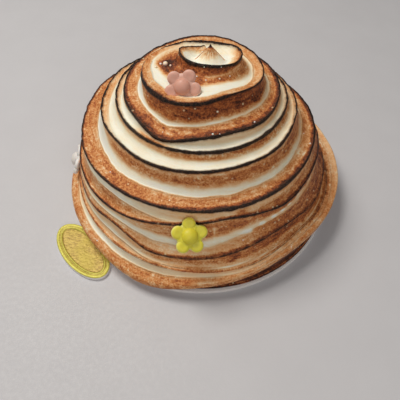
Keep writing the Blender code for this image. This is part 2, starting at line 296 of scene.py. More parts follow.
# ---- how the coat is toasted, and its painted shade under the roll --------
# One row a turn. Each entry is one value, or five: left, left front, front,
# right front, right. Levels: 0 is white, 1 is black-brown. Places are shares
# of the way from the turn's crest to the next one.
# The last row, from the bottom roll down to the foot, is dark at the front and right: toast, with painted shade under
# the overhanging roll.
UNDER = (              # level right under the crest
    (0.70, 0.74, 0.66, 0.64, 0.60), (0.30, 0.64, 0.68, 0.70, 0.62), (0.75, 0.34, 0.24, 0.28, 0.60),
    (0.50, 0.32, 0.30, 0.36, 0.62), (0.20, 0.36, 0.34, 0.40, 0.62), (0.20, 0.12, 0.26, 0.34, 0.76),
    (0.60, 0.50, 0.42, 0.60, 0.74), (0.45, 0.28, 0.40, 0.52, 0.72), (0.25, 0.10, 0.22, 0.44, 0.52),
    (0.42, 0.42, 0.60, 0.66, 0.60),
)
WALL = (               # level of the browned wall
    (0.78, 0.70, 0.57, 0.54, 0.44), (0.24, 0.64, 0.74, 0.76, 0.66), (0.72, 0.12, 0.16, 0.24, 0.52),
    (0.25, 0.28, 0.44, 0.54, 0.50), (0.10, 0.50, 0.48, 0.58, 0.60), (0.36, 0.10, 0.22, 0.30, 0.74),
    (0.44, 0.20, 0.52, 0.62, 0.78), (0.34, 0.18, 0.50, 0.72, 0.86), (0.20, 0.06, 0.20, 0.44, 0.54),
    (0.30, 0.30, 0.85, 0.92, 0.80),
)
TOP = ((0.08, 0.13, 0.16, 0.12, 0.08), 0.03, 0.05, 0.14, 0.13, 0.05, 0.05, 0.03, 0.03, 0.05)   # where the wall's level begins
FADE = (               # where the wall has faded half way to the groove
    (0.68, 0.58, 0.50, 0.50, 0.56), (0.20, 0.47, 0.50, 0.53, 0.50), (0.38, 0.16, 0.52, 0.56, 0.50),
    (0.24, 0.34, 0.46, 0.49, 0.50), (0.12, 0.42, 0.44, 0.50, 0.48), (0.16, 0.14, 0.70, 0.37, 0.50),
    (0.30, 0.30, 0.56, 0.22, 0.30), (0.26, 0.46, 0.52, 0.58, 0.50), (0.20, 0.34, 0.22, 0.26, 0.22),
    (0.20, 0.25, 0.96, 0.98, 0.90),
)
GROOVE = (             # level in the groove
    (0.05, 0.03, 0.03, 0.04, 0.10), (0.03, 0.03, 0.04, 0.10, 0.16), (0.05, 0.04, 0.05, 0.06, 0.16),
    (0.05, 0.06, 0.06, 0.09, 0.22), (0.03, 0.03, 0.03, 0.07, 0.24), (0.16, 0.05, 0.18, 0.40, 0.56),
    (0.24, 0.07, 0.05, 0.24, 0.56), (0.18, 0.06, 0.24, 0.44, 0.50), (0.16, 0.04, 0.16, 0.26, 0.36),
    (0.14, 0.14, 0.85, 0.90, 0.80),
)
RISE = (               # where the shelf's level has half begun
    (0.80, 0.83, 0.84, 0.78, 0.66), (0.52, 0.57, 0.59, 0.60, 0.64), (0.62, 0.92, 0.93, 0.92, 0.85),
    (0.64, 0.93, 0.95, 0.92, 0.72), (0.46, 0.62, 0.62, 0.64, 0.62), (0.22, 0.36, 0.92, 0.46, 0.50),
    (0.42, 0.52, 0.72, 0.44, 0.48), (0.50, 0.62, 0.74, 0.82, 0.80), (0.36, 0.42, 0.30, 0.34, 0.30),
    (0.40, 0.50, 0.99, 0.99, 0.95),
)
SHELF = (              # level of the shelf above the next crest
    (0.44, 0.42, 0.36, 0.42, 0.34), (0.46, 0.52, 0.50, 0.50, 0.44), (0.26, 0.05, 0.02, 0.10, 0.20),
    (0.34, 0.09, 0.04, 0.16, 0.34), (0.46, 0.50, 0.43, 0.42, 0.42), (0.40, 0.42, 0.32, 0.54, 0.60),
    (0.40, 0.36, 0.26, 0.58, 0.66), (0.40, 0.28, 0.34, 0.46, 0.74), (0.42, 0.43, 0.46, 0.44, 0.30),
    (0.16, 0.16, 0.85, 0.92, 0.80),
)
# Half width in mm of the burnt line on each turn's crest, and the width and
# level of the dark edge of the shelf above it.
BURN = (
    (0.55, 0.85, 0.60, 0.60, 0.52), (0.36, 0.30, 0.20, 0.26, 0.30), (0.42, 0.48, 0.54, 0.54, 0.42),
    (0.44, 0.54, 0.62, 0.60, 0.44), (0.40, 0.46, 0.50, 0.48, 0.40), (0.28, 0.34, 0.50, 0.58, 0.46),
    (0.24, 0.26, 0.32, 0.34, 0.34), (0.20, 0.20, 0.20, 0.20, 0.22), (0.06, 0.10, 0.04, 0.08, 0.12), 0.0, 0.0,
)
EDGE = (
    (0.2, 0.2, 0.2, 0.2, 0.2), (0.5, 0.7, 0.4, 0.6, 0.5), (1.6, 3.2, 3.5, 2.9, 1.6),
    (0.5, 0.5, 0.5, 0.5, 0.5), (0.5, 0.5, 0.5, 0.5, 0.6), (0.8, 1.0, 2.0, 2.4, 2.0),
    (0.9, 0.9, 1.0, 1.8, 1.8), (1.2, 1.4, 1.4, 1.8, 1.5), (0.8, 1.0, 0.9, 0.8, 0.8), 0.1,
)
EDGE_LEVEL = (0.70, 0.60, 0.84, 0.70, 0.70, 0.86, 0.82, 0.76, 0.56, 0.4)
# Local changes: turn count, share across, half sizes of both, level change.
PATCHES = (
    (1.530, 0.34, 0.030, 0.16, -0.40),
    (4.535, 0.30, 0.030, 0.22, -0.40),
    (0.530, 0.46, 0.035, 0.14, 0.22),
    (0.850, 0.10, 0.10, 0.06, 0.14),
    (2.66, 0.70, 0.030, 0.30, 0.45),
    (7.742, 0.79, 0.030, 0.09, 0.40),
    (7.782, 0.50, 0.004, 0.07, 0.50),
    (7.789, 0.36, 0.004, 0.06, 0.50),
    (8.842, 0.10, 0.010, 0.06, -0.30),
    (5.800, 0.55, 0.006, 0.30, 0.35),
    (6.766, 0.33, 0.0022, 0.18, -0.40),
)
# Thin lines: half width in mm, level change, then turn count and share of
# each place the line runs through.
LINES = (
    (0.16, -0.36, (0.66, 0.17), (0.75, 0.215), (0.85, 0.20), (0.97, 0.10)),
    (0.12, -0.22, (0.56, 0.22), (0.69, 0.17)),
    (0.17, -0.42, (6.775, 0.68), (6.81, 0.60), (6.84, 0.42), (6.87, 0.20), (6.90, 0.10)),
    (0.16, -0.34, (6.875, 0.24), (6.90, 0.22), (6.94, 0.36)),
    (0.15, -0.34, (7.70, 0.86), (7.74, 0.80), (7.78, 0.78), (7.82, 0.84), (7.85, 0.96)),
    (0.16, -0.28, (7.88, 0.94), (7.91, 0.82), (7.95, 0.72)),
    (0.16, -0.26, (8.74, 0.60), (8.78, 0.56), (8.84, 0.60)),
    (0.16, -0.12, (3.76, 0.11), (3.94, 0.12)),
)
KNOTS = (0.0, 0.125, 0.25, 0.375, 0.5, 0.75)


def reading(rows, n):
    """Reading of a table of turns at turn counts n, without overshoot."""
    at, values = [], []
    for k, row in enumerate(rows):
        row = row if isinstance(row, tuple) else (row,) * 5
        after = rows[min(k + 1, len(rows) - 1)]
        after = after[0] if isinstance(after, tuple) else after
        at.extend(FIRST_KNOT + k + x for x in KNOTS)
        values.extend(row + (0.5 * (row[4] + after),))
    at, values = np.array(at), np.array(values)
    x = np.clip(n, at[0], at[-1] - 1e-6)
    i = np.clip(np.searchsorted(at, x, side="right") - 1, 0, len(at) - 2)
    f = (x - at[i]) / (at[i + 1] - at[i])
    f = f * f * (3.0 - 2.0 * f)
    return values[i] * (1.0 - f) + values[i + 1] * f


def local_change(n, s, length):
    """Change of the toast level by patches and thin lines."""
    change = np.zeros_like(s)
    for at, share, hn, hs, amount in PATCHES:
        change = change + amount * bell(n - at, hn) * bell(s - share, hs)
    for half, amount, *places in LINES:
        at = np.array([q[0] for q in places])
        where = np.interp(n, at, np.array([q[1] for q in places]))
        ends = ramp(at[0] - 0.006, at[0] + 0.012, n) * ramp(at[-1] + 0.006, at[-1] - 0.012, n)
        change = change + amount * ends * bell((s - where) * length, max(half, 0.2))
    return change


# ---- the fine meringue ----------------------------------------------------
ROWS = 620                   # around
COLUMNS = 14                 # across one turn of the spiral
LIP_RISE = 0.28              # the burnt crest stands up over the shelf
LIP_HALF = 0.42
CREASES = (193.0, 341.0)      # azimuths of the peak's creases


def even_shares(rows, m):
    """For every row and turn, the values of t at even steps of length,
    closer near the crests, with the length from crest to crest."""
    x = np.arange(m) / m
    want = x - 0.07 * np.sin(2 * np.pi * x)
    turn = np.arange(rows) / rows
    fine = np.linspace(0.0, 1.0, 49)
    table = np.zeros((rows, LAST_TURN + 1, m))
    length = np.zeros((rows, LAST_TURN + 1))
    for k in range(LAST_TURN + 1):
        n, t = np.meshgrid(turn + k, fine, indexing="ij")
        p = across(n, t)
        step = np.linalg.norm(np.diff(p, axis=1), axis=2)
        arc = np.concatenate([np.zeros((rows, 1)), np.cumsum(step, 1)], 1)
        length[:, k] = arc[:, -1]
        for j in range(rows):
            table[j, k] = np.interp(want, arc[j] / arc[j, -1], fine)
    return want, table, length


def profile(n, s, size):
    """Level of the coat at share s of the way down, as the look itself reads it."""
    level = reading(UNDER, n)
    level = level + (reading(WALL, n) - level) * ramp(-0.03, 0.06, s - reading(TOP, n))
    level = level + (reading(GROOVE, n) - level) * ramp(-0.15, 0.09, s - reading(FADE, n))
    past = (s - reading(RISE, n)) * size
    level = level + (reading(SHELF, n) - level) * ramp(-0.10, 0.22, past) * 0.62
    return level + (reading(SHELF, n) - level) * ramp(0.10, 1.10, past)


def fine_meringue():
    m = COLUMNS
    want, table, length = even_shares(ROWS, m)
    columns = (LAST_TURN + 1) * m
    row = np.arange(ROWS)[:, None] + np.zeros((1, columns), int)
    turn = row / ROWS
    shift = np.round(m * turn).astype(int)
    i = np.arange(1, columns + 1)[None, :] + np.zeros((ROWS, 1), int)
    c = i - shift
    k = np.clip(c // m, 0, LAST_TURN - 1)
    n = turn + k
    inner = np.clip(c - k * m, 0, m - 1)
    t = table[row, k, inner]
    s = want[inner]
    size = length[row, k]
    p = across(n, t)
    share = i / np.maximum(shift, 1)
    floor = across(turn - 1.0, np.clip(share, 0.0, 1.0))
    first = crest(turn)
    for axis, middle in ((0, CRATER_X), (1, CRATER_Y)):
        floor[..., axis] = middle + (first[..., axis] - middle) * share
    inside = c < 0
    p[inside] = floor[inside]
    low = c < m
    p = np.where(low[..., None], peak(p.copy(), np.where(inside, 0.0, n)), p)
    left = np.maximum(m - shift, 1)
    beyond = np.clip((c - LAST_TURN * m) / left, 0.0, 1.0)
    outside = c >= LAST_TURN * m
    under = across(turn + LAST_TURN, beyond)
    p[outside] = under[outside]
    n = np.where(inside, turn - 1.0, np.where(outside, turn + LAST_TURN, n))
    s = np.where(inside, np.clip(share, 0.0, 1.0), np.where(outside, beyond, s))
    size = np.where(inside, np.hypot(first[..., 0] - CRATER_X, first[..., 1] - CRATER_Y) + 1e-3,
                    np.where(outside, length[row, LAST_TURN], size))

    # the crest stands up as a thin ragged lip
    away = np.minimum(np.where(inside, 99.0, s * size), np.where(outside, 99.0, (1.0 - s) * size))
    radial = np.stack([p[..., 0], p[..., 1], 0 * p[..., 0]], -1)
    radial = radial / np.maximum(np.linalg.norm(radial, axis=-1, keepdims=True), 1e-6)
    near = np.where(s > 0.5, n + 1.0, n)
    strength = ramp(*LIP_START, near) * (1.0 - ramp(8.6, 9.2, near)) * (1.0 - 0.45 * ramp(5.4, 6.6, near))
    rise = LIP_RISE * strength * bell(away, LIP_HALF)
    ragged = layered(p / 1.5, 21) * 0.22 * strength * bell(away, 0.7)
    p = p + (radial * 0.55 + np.array([0.0, 0.0, 0.75])) * (rise + ragged)[..., None]

    # low dents, scrape lines that follow the spiral, and a light grain
    du = np.gradient(p, axis=1)
    dv = np.roll(p, -1, axis=0) - np.roll(p, 1, axis=0)
    normal = np.cross(du, dv)
    normal = normal / np.maximum(np.linalg.norm(normal, axis=-1, keepdims=True), 1e-9)
    down = np.concatenate([np.zeros((ROWS, 1)),
                           np.cumsum(np.linalg.norm(np.diff(p, axis=1), axis=2), 1)], 1)
    lines = np.stack([p[..., 0] / 9.0, p[..., 1] / 9.0, down / 0.9], -1)
    relief = (0.10 * layered(p / 5.0, 31) + 0.045 * layered(lines, 32, 2)
              + 0.035 * layered(p / 1.1, 33, 2))
    calm = ramp(0.0, 3.0, np.hypot(p[..., 0] - CRATER_X, p[..., 1] - CRATER_Y))
    relief = relief * (0.35 + 0.65 * calm) * np.where(outside, 0.3, 1.0)
    p = p + normal * relief[..., None]
    # behind its two creases the peak falls off steeply
    x, y = p[..., 0] - CRATER_X, p[..., 1] - CRATER_Y
    turned_to = np.degrees(np.arctan2(y, x)) % 360.0
    behind = 1.0 - ramp(CREASES[0] - 16.0, CREASES[0], turned_to) * ramp(CREASES[1] + 16.0, CREASES[1], turned_to)
    from_tip = np.hypot(x, y)
    steep = CRATER_FLOOR + (PEAK_TOP - CRATER_FLOOR) * np.maximum(1.0 - from_tip / 2.6, 0.0) ** 1.2
    blunt = CRATER_FLOOR + (PEAK_TOP - 0.3 - CRATER_FLOOR) * np.maximum(1.0 - from_tip / (4.1 - 0.5 * y / np.maximum(from_tip, 1e-6)), 0.0) ** 0.92
    at_peak = (from_tip < 4.6) & (n < 0.30) & (near < 0.98)
    goal = blunt + (steep - blunt) * behind
    p[..., 2] = np.where(at_peak & ((away > 1.2) | (near < 0.25)), np.maximum(goal, np.minimum(p[..., 2], CRATER_FLOOR + 0.1)), p[..., 2])
    # streaks down the peak
    around = np.stack([np.cos(np.arctan2(y, x)) * 3.5, np.sin(np.arctan2(y, x)) * 3.5, 0 * x], -1)
    on_peak = ramp(CRATER_FLOOR + 0.3, CRATER_FLOOR + 1.5, p[..., 2]) * (np.hypot(x, y) < 4.5) * inside
    p[..., 2] += 0.10 * grain(around, 41) * on_peak

    # seats of the sugar flowers: the coat stays behind them, close round the
    # petals; the lower petals of the pink one stay sunk in the shelf
    for name, centre, direction, spin, scale in FLOWERS:
        turned = np.array(facing(direction, 0.0, 1.0, (0, 0, 0)).to_3x3())
        local = (p - np.array(centre)) @ turned
        x, y = local[..., 0], local[..., 1]
        off = np.hypot(x, y) - (FLOWER_WEB[0] + 0.05) * scale
        for k in range(PETALS):
            a = math.radians(spin) + 2.0 * math.pi * k / PETALS
            off = np.minimum(off, np.hypot(x - PETAL_RING * scale * math.cos(a), y - PETAL_RING * scale * math.sin(a))
                             - PETAL_HALF[0] * scale)
        top = -0.50 * scale + 0.9 * ramp(-0.2, 0.5, off) + 20.0 * ramp(0.4, 1.6, off)
        if name == "flower_pink":
            top = top + 9.0 * np.maximum(ramp(-1.9, -2.7, y), ramp(-3.2, -3.9, x) * ramp(0.3, -0.6, y))
        over = (local[..., 2] > top) & (off < 1.6) & (local[..., 2] < 9.0)
        local[..., 2] = np.where(over, top, local[..., 2])
        p = np.where(over[..., None], local @ turned.T + np.array(centre), p)

    # what the looks read: levels, places and distances on the coat
    x, y = p[..., 0] - CRATER_X, p[..., 1] - CRATER_Y
    angle = np.arctan2(y, x)
    wander = layered(p / 7.0, 11)
    fine = layered(p / 2.2, 12)
    # the crater is white with painted shade just inside its rim, its right-hand wall tan; the foot under the roll
    # dark, toast with painted shade under the overhang
    to_rim = (1.0 - s) * size
    east = ramp(-0.35, 0.6, np.cos(angle - 0.35))
    right = ramp(3.3, 1.0, to_rim + 0.5 * wander) * east * 0.40 + ramp(1.2, 0.3, to_rim) * east * 0.34
    rim_shade = ramp(1.3, 0.3, to_rim) * 0.36
    plain = np.where(inside, -0.02 + np.maximum(right, rim_shade), 0.08 + 0.25 * ramp(0.3, 0.5, n))
    # painted shade on the foot under the roll's overhang, front and right
    foot_painted_shade = ramp(0.70, 0.76, turn) * ramp(0.99, 0.94, turn)
    east_side = bell((turn + 0.5) % 1.0 - 0.56, 0.12)
    plain = np.where(outside, 0.42 + 0.50 * foot_painted_shade - 0.14 * east_side, plain)
    # both ends of the spiral run into what lies beside them
    ending = np.where(outside, ramp(0.10, 0.0, turn), ramp(0.36, 0.50, n) * ~inside)
    ending = ending * (outside | (n < 0.5))
    plain = plain + (profile(np.where(outside, LAST_TURN, 0.5), s, size) - plain) * ending
    starting = ramp(0.10, 0.0, n) * (n < 0.5) * ~inside
    centre_plain = -0.02 + np.maximum(right, rim_shade)
    plain = plain + (centre_plain - plain) * starting
    own = inside | ((n < 0.5) & ~inside) | outside
    low = reading(BURN, n) * np.where(n < 0.5, 0.42, 1.0) * ramp(0.0, 0.06, n)
    high = reading(BURN, n + 1.0) * (0.25 + 0.75 * ramp(0.42, 0.52, n + 1.0)) * ramp(0.0, 0.06, n + 1.0)
    ragged = 1.0 + 0.22 * layered(p / 1.7, 13) + 0.16 * wander
    scale = 1.0 + 0.09 * wander + 0.08 * fine
    arrays = {
        "under": reading(UNDER, n) * scale, "wall": reading(WALL, n) * scale,
        "groove": reading(GROOVE, n) + 0.02 * wander, "shelf": reading(SHELF, n) * scale,
        "top": reading(TOP, n), "fade": reading(FADE, n) + 0.030 * wander + 0.02 * fine,
        "rise": reading(RISE, n) + 0.025 * wander + 0.015 * fine,
        "edge": reading(EDGE, n + 1.0) * (1.0 + 0.30 * fine + 0.2 * wander),
        "edge_level": reading(EDGE_LEVEL, n + 1.0) * ramp(0.28, 0.5, n + 1.0),
        "low": low * ragged, "high": high * ragged, "length": size,
        "change": np.where(own, 0.0, local_change(n, s, size)), "plain": plain, "own": own * 1.0,
        "along": down,
    }
    points = np.vstack([[(CRATER_X, CRATER_Y, PEAK_TOP)], p.reshape(-1, 3), [(0.0, 0.0, BASE_Z)]])
    points[0] = p[:, 0].mean(axis=0)
    fields = {key: np.concatenate([[v[0, 0]], v.ravel(), [v[0, -1]]]) for key, v in arrays.items()}
    fields["own"][0] = fields["own"][-1] = 1.0
    place = np.stack([np.cos(2 * np.pi * turn), np.sin(2 * np.pi * turn), n + s], -1).reshape(-1, 3)
    fields["place"] = np.vstack([[(1.0, 0.0, 0.0)], place, [(1.0, 0.0, LAST_TURN + 0.5)]])
    faces = grid_faces(ROWS, columns, shift[:, 0])
    return points, faces, fields


def mesh_object(name, points, faces, fields=None, smooth=True):
    mesh = bpy.data.meshes.new(name)
    mesh.from_pydata([tuple(float(v) * MM for v in q) for q in points], [], faces)
    bm = bmesh.new()
    bm.from_mesh(mesh)
    bmesh.ops.recalc_face_normals(bm, faces=bm.faces)
    bm.to_mesh(mesh)
    bm.free()
    for key, values in (fields or {}).items():
        values = np.ascontiguousarray(values, dtype=np.float32)
        flat = values.ndim == 1
        a = mesh.attributes.new(key, "FLOAT" if flat else "FLOAT_VECTOR", "POINT")
        a.data.foreach_set("value" if flat else "vector", values.ravel())
    if smooth:
        mesh.shade_smooth()
    obj = bpy.data.objects.new(name, mesh)
    bpy.context.scene.collection.objects.link(obj)
    return obj


def facing(direction, spin, scale, centre):
    """Places a flower: its face along direction, its own Y as near up as that
    allows, then spun in its plane."""
    z = Vector(direction).normalized()
    y = (Vector((0.0, 0.0, 1.0)) - z * z.z).normalized()
    turn = Matrix((y.cross(z), y, z)).transposed().to_4x4()
    return (Matrix.Translation(Vector(centre)) @ turn
            @ Matrix.Rotation(math.radians(spin), 4, "Z") @ Matrix.Scale(scale, 4))


# ---- sugar flowers --------------------------------------------------------
def puff(half, height, depth, dish, lift, rings=18, sides=44):
    """A round petal: domed top with a shallow dish, thinner rim, domed back.
    Gives points, faces and how near each point is to the rim."""
    points, rim = [(0.0, 0.0, lift + height - dish)], [0.0]
    for r in range(1, 2 * rings):
        a = r / rings
        rho = math.sin(a * math.pi / 2)
        if r <= rings:
            z = height * math.sqrt(max(1 - rho ** 3.2, 0.0)) - dish * (1 - rho ** 2) ** 2
        else:
            z = -depth * math.sqrt(max(1 - rho ** 2, 0.0))
        for k in range(sides):
            b = 2 * math.pi * k / sides
            points.append((half * rho * math.cos(b), half * rho * math.sin(b), lift + z))
            rim.append(rho if r <= rings else 1.0)
    points.append((0.0, 0.0, lift - depth))
    rim.append(0.0)
    faces = []
    for k in range(sides):
        k1 = (k + 1) % sides
        faces.append((0, 1 + k, 1 + k1))
        for r in range(2 * rings - 2):
            a, b = 1 + r * sides, 1 + (r + 1) * sides
            faces.append((a + k, b + k, b + k1, a + k1))
        last = 1 + (2 * rings - 2) * sides
        faces.append((last + k, len(points) - 1, last + k1))
    return np.array(points), faces, np.array(rim)


def fine_flower(name, centre, direction, spin, scale):
    points, faces, rims = [], [], []

    def join(p, f, rim):
        base = sum(len(q) for q in points)
        faces.extend(tuple(v + base for v in face) for face in f)
        points.append(p)
        rims.append(rim)

    for k in range(PETALS):
        p, f, rim = puff(PETAL_HALF[0], 0.95, 0.80, 0.20, 0.0)
        tilt = math.radians(-7.0 + 5.0 * math.sin(2.4 * k + len(name)))
        turn = (Matrix.Rotation(2 * math.pi * k / PETALS + 0.05 * math.sin(3.1 * k + len(name)), 4, "Z")
                @ Matrix.Translation((PETAL_RING, 0, 0)) @ Matrix.Rotation(tilt, 4, "Y"))
        join(np.array([turn @ Vector(q) for q in p]), f, rim)
    join(*puff(FLOWER_WEB[0], FLOWER_WEB[2], FLOWER_WEB[2] * 0.9, 0.0, -0.05, 14, 60))
    p, f, rim = puff(FLOWER_HEART[0], FLOWER_HEART[2], FLOWER_HEART[2] * 0.95, 0.0, HEART_UP, 22, 52)
    z = (p[:, 2] - HEART_UP) / FLOWER_HEART[2]
    rho = np.hypot(p[:, 0], p[:, 1]) / FLOWER_HEART[0]
    p[:, 2] = HEART_UP + np.sign(z) * FLOWER_HEART[2] * np.sqrt(np.maximum(1 - rho ** 2, 0.0))
    join(p, f, rim * 0.0 - 1.0)
    points, rims = np.vstack(points), np.concatenate(rims)
    points = points + 0.035 * np.stack([layered(points / 1.3, 50 + a, 2) for a in range(3)], -1)
    place = facing(direction, spin, scale, centre)
    points = np.array([place @ Vector(q) for q in points])
    return mesh_object("fine_" + name, points, faces, {"rim": rims})


# ---- beads of syrup -------------------------------------------------------
# turn count, share across, radius in mm
BEADS = (
    (0.528, 0.51, 0.62), (0.522, 0.61, 0.30), (0.534, 0.70, 0.36), (0.545, 0.37, 0.28),
    (0.691, 0.22, 0.18), (0.737, 0.30, 0.20), (0.800, 0.30, 0.24), (0.851, 0.29, 0.22), (0.716, 0.03, 0.13),
    (0.807, 0.04, 0.12), (1.772, 0.93, 0.26), (1.786, 0.95, 0.14), (1.792, 0.32, 0.28), (1.864, 0.92, 0.22),
    (1.671, 0.81, 0.16), (2.517, 0.72, 0.16), (4.949, 0.90, 0.28), (4.963, 0.72, 0.16), (4.709, 0.76, 0.22),
    (4.614, 0.76, 0.22), (8.621, 0.63, 0.22), (6.800, 0.79, 0.22), (8.855, 0.53, 0.20), (6.827, 0.66, 0.14),
)


def bead_mesh(points, faces):
    """Small drops seated on the coat at BEADS."""
    out_p, out_f = [], []
    for n, s, r in BEADS:
        t = np.linspace(0, 1, 80)
        line = across(np.full(80, n), t)
        arc = np.concatenate([[0], np.cumsum(np.linalg.norm(np.diff(line, axis=0), axis=1))])
        tt = np.interp(s * arc[-1], arc, t)
        here = across(np.array([n]), np.array([tt]))[0]
        a = across(np.array([n + 0.002]), np.array([tt]))[0] - here
        b = across(np.array([n]), np.array([min(tt + 0.02, 1.0)]))[0] - here
        out = np.cross(b, a)
        out = out / np.linalg.norm(out)
        # the nearest vertex of the finished coat
        near = points[np.argmin(np.sum((points - here) ** 2, axis=1))]
        bm = bmesh.new()
        bmesh.ops.create_icosphere(bm, subdivisions=3, radius=1.0)
        rot = Vector(out).to_track_quat("Z", "Y").to_matrix()
        base = len(out_p)
        for v in bm.verts:
            q = Vector((v.co.x * r, v.co.y * r, v.co.z * r * 0.82))
            q = rot @ q
            out_p.append((near[0] + q.x + out[0] * r * 0.35, near[1] + q.y + out[1] * r * 0.35,
                          near[2] + q.z + out[2] * r * 0.35))
        for f in bm.faces:
            out_f.append(tuple(base + v.index for v in f.verts))
        bm.free()
    return out_p, out_f


# ---- the card -------------------------------------------------------------
CARD_ROUND = 0.12            # rounding of the card's cut edges


def tab_place(x, y):
    """How far inside the tab's outline a point lies, in mm, and its place
    in the tab's own axes."""
    a0 = math.radians(TAB_AZIMUTH)
    axis = a0 + math.radians(90.0 + TAB_TURN)
    dx, dy = x - TAB_CENTRE_R * math.cos(a0), y - TAB_CENTRE_R * math.sin(a0)
    u = dx * math.cos(axis) + dy * math.sin(axis)
    v = -dx * math.sin(axis) + dy * math.cos(axis)
    q = np.sqrt((u / TAB_HALF_LONG) ** 2 + (v / TAB_HALF_SHORT) ** 2)
    slope = np.sqrt((u / TAB_HALF_LONG ** 2) ** 2 + (v / TAB_HALF_SHORT ** 2) ** 2) / np.maximum(q, 1e-6)
    return (1.0 - q) / np.maximum(slope, 1e-6), u, v


def card_height(x, y):
    """Relief of the card's top: a raised rim round the tab, a second one
    inside it and the pressed field."""
    depth, u, v = tab_place(x, y)
    rise = 0.16 * bell(depth - 0.50, 0.40) - 0.18 * bell(depth - 1.12, 0.17)
    rise = rise + 0.24 * bell(depth - 1.52, 0.24) - TAB_FIELD_DEPTH * ramp(1.65, 2.05, depth)
    field = ramp(1.9, 2.4, depth)
    rise = rise + field * 0.035 * layered(np.stack([u / 0.8, v / 0.5, 0 * u], -1), 61, 2)
    out = ramp(CARD_RADIUS - 1.6, CARD_RADIUS - 0.6, np.hypot(x, y))
    return rise * out * (depth > 0)


def plate(middle, turn, long, short, sides, rings, sink):
    """A flat oval plate with rounded edges and the relief of the card on top; gives points, faces, which points take
    the pale board colour (the cut edge, and the top near the disc's edge as a painted highlight) and where the foil
    is bright (with painted shade in the groove between the tab's raised rims)."""
    b = 2 * np.pi * np.arange(sides) / sides
    loops = [(f * (long - CARD_ROUND), f * (short - CARD_ROUND), None) for f in np.linspace(1.0 / rings, 1.0, rings)]
    for a in (30, 60, 90):
        back = CARD_ROUND * (1.0 - math.sin(math.radians(a)))
        loops.append((long - back, short - back, CARD_THICK - CARD_ROUND * (1.0 - math.cos(math.radians(a)))))
    loops.append((long, short, CARD_THICK * 0.5))
    for a in (0, 30, 60, 90):
        back = CARD_ROUND * (1.0 - math.cos(math.radians(a)))
        loops.append((long - back, short - back, CARD_ROUND * (1.0 - math.sin(math.radians(a)))))
    points, cut, rim = [], [], []

    def put(x, y, z):
        depth = tab_place(x, y)[0]
        far = np.hypot(x, y)
        top = z is None
        height = CARD_THICK + card_height(x, y) - sink(depth, far) if top else z + 0.0 * x
        points.extend(zip(x, y, height))
        # the disc's top near its edge takes the pale board colour: a painted highlight of the edge catching light
        pale = ramp(-0.5, -1.5, depth) * (far > 38.2)
        cut.extend(pale if top or z > CARD_THICK * 0.93 else np.ones(len(x)))
        # bright foil out to the tab's pressed field, with painted shade dipping into the groove between the raised
        # rims
        rim.extend(ramp(2.0, 1.7, depth) * (1.0 - 0.85 * bell(depth - 1.12, 0.18)))

    put(np.array([middle[0]]), np.array([middle[1]]), None)
    for lu, lv, z in loops:
        u, v = lu * np.cos(b), lv * np.sin(b)
        put(middle[0] + u * math.cos(turn) - v * math.sin(turn),
            middle[1] + u * math.sin(turn) + v * math.cos(turn), z)
    put(np.array([middle[0]]), np.array([middle[1]]), 0.0)
    faces = []
    for k in range(sides):
        k1 = (k + 1) % sides
        faces.append((0, 1 + k, 1 + k1))
        for r in range(len(loops) - 1):
            p, q = 1 + r * sides, 1 + (r + 1) * sides
            faces.append((p + k, q + k, q + k1, p + k1))
        last = 1 + (len(loops) - 1) * sides
        faces.append((last + k, len(points) - 1, last + k1))
    return points, faces, cut, rim


def fine_card():
    a0 = math.radians(TAB_AZIMUTH)
    centre = (TAB_CENTRE_R * math.cos(a0), TAB_CENTRE_R * math.sin(a0))
    disc = plate((0.0, 0.0), 0.0, CARD_RADIUS, CARD_RADIUS, 480, 40,
                 lambda depth, far: 0.03 * ramp(0.0, 0.3, depth))
    tab = plate(centre, a0 + math.radians(90.0 + TAB_TURN), TAB_HALF_LONG, TAB_HALF_SHORT, 300, 44,
                lambda depth, far: 0.06 * ramp(39.2, 38.4, far))
    points = disc[0] + tab[0]
    faces = disc[1] + [tuple(v + len(disc[0]) for v in f) for f in tab[1]]
    cut, rim = np.array(disc[2] + tab[2]), np.array(disc[3] + tab[3])
    return mesh_object("foil_card", points, faces, {"cut": cut, "rim": rim})


